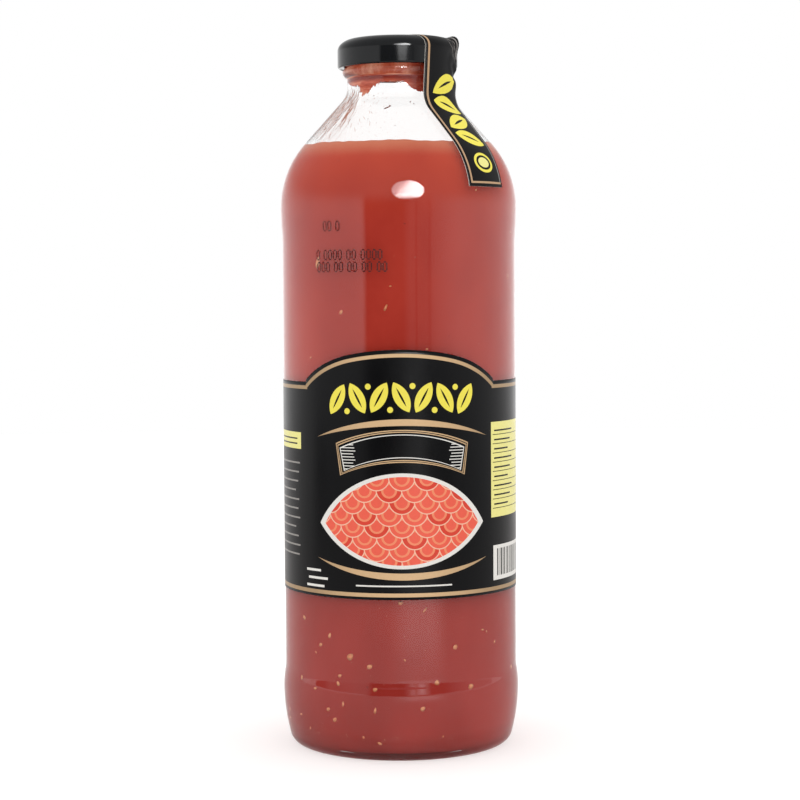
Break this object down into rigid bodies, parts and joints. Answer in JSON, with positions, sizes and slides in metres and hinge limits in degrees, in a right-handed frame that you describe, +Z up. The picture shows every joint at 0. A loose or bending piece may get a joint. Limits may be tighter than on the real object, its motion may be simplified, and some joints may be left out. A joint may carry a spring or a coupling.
{
  "type": "bottle of crushed tomatoes",
  "caption": "Tall round glass bottle filled with crushed tomatoes, closed by a twist-off cap, with a wrap-around paper label and a paper seal strip over the cap.",
  "frame": {"origin": "centre of the ring that the bottle stands on, at the height of the surface under it", "axes": "+Z up along the bottle's axis, -Y towards the middle of the label, +X to the right seen from the label's side"},
  "size_m": [0.0816, 0.0816, 0.2427],
  "materials": {
    "glass": "clear, glossy",
    "tomato": "wet crushed tomato",
    "cap_lacquer": "glossy black lacquer",
    "compound": "satin sealing compound",
    "label_paper": "printed coated paper",
    "strip_paper": "printed paper"
  },
  "bodies": {
    "root": {"glass_bottle": "glass", "crushed_tomatoes": "tomato", "cap": "cap_lacquer", "cap_gasket": "compound", "label": "label_paper", "seal_strip": "strip_paper"}
  },
  "joints": []
}
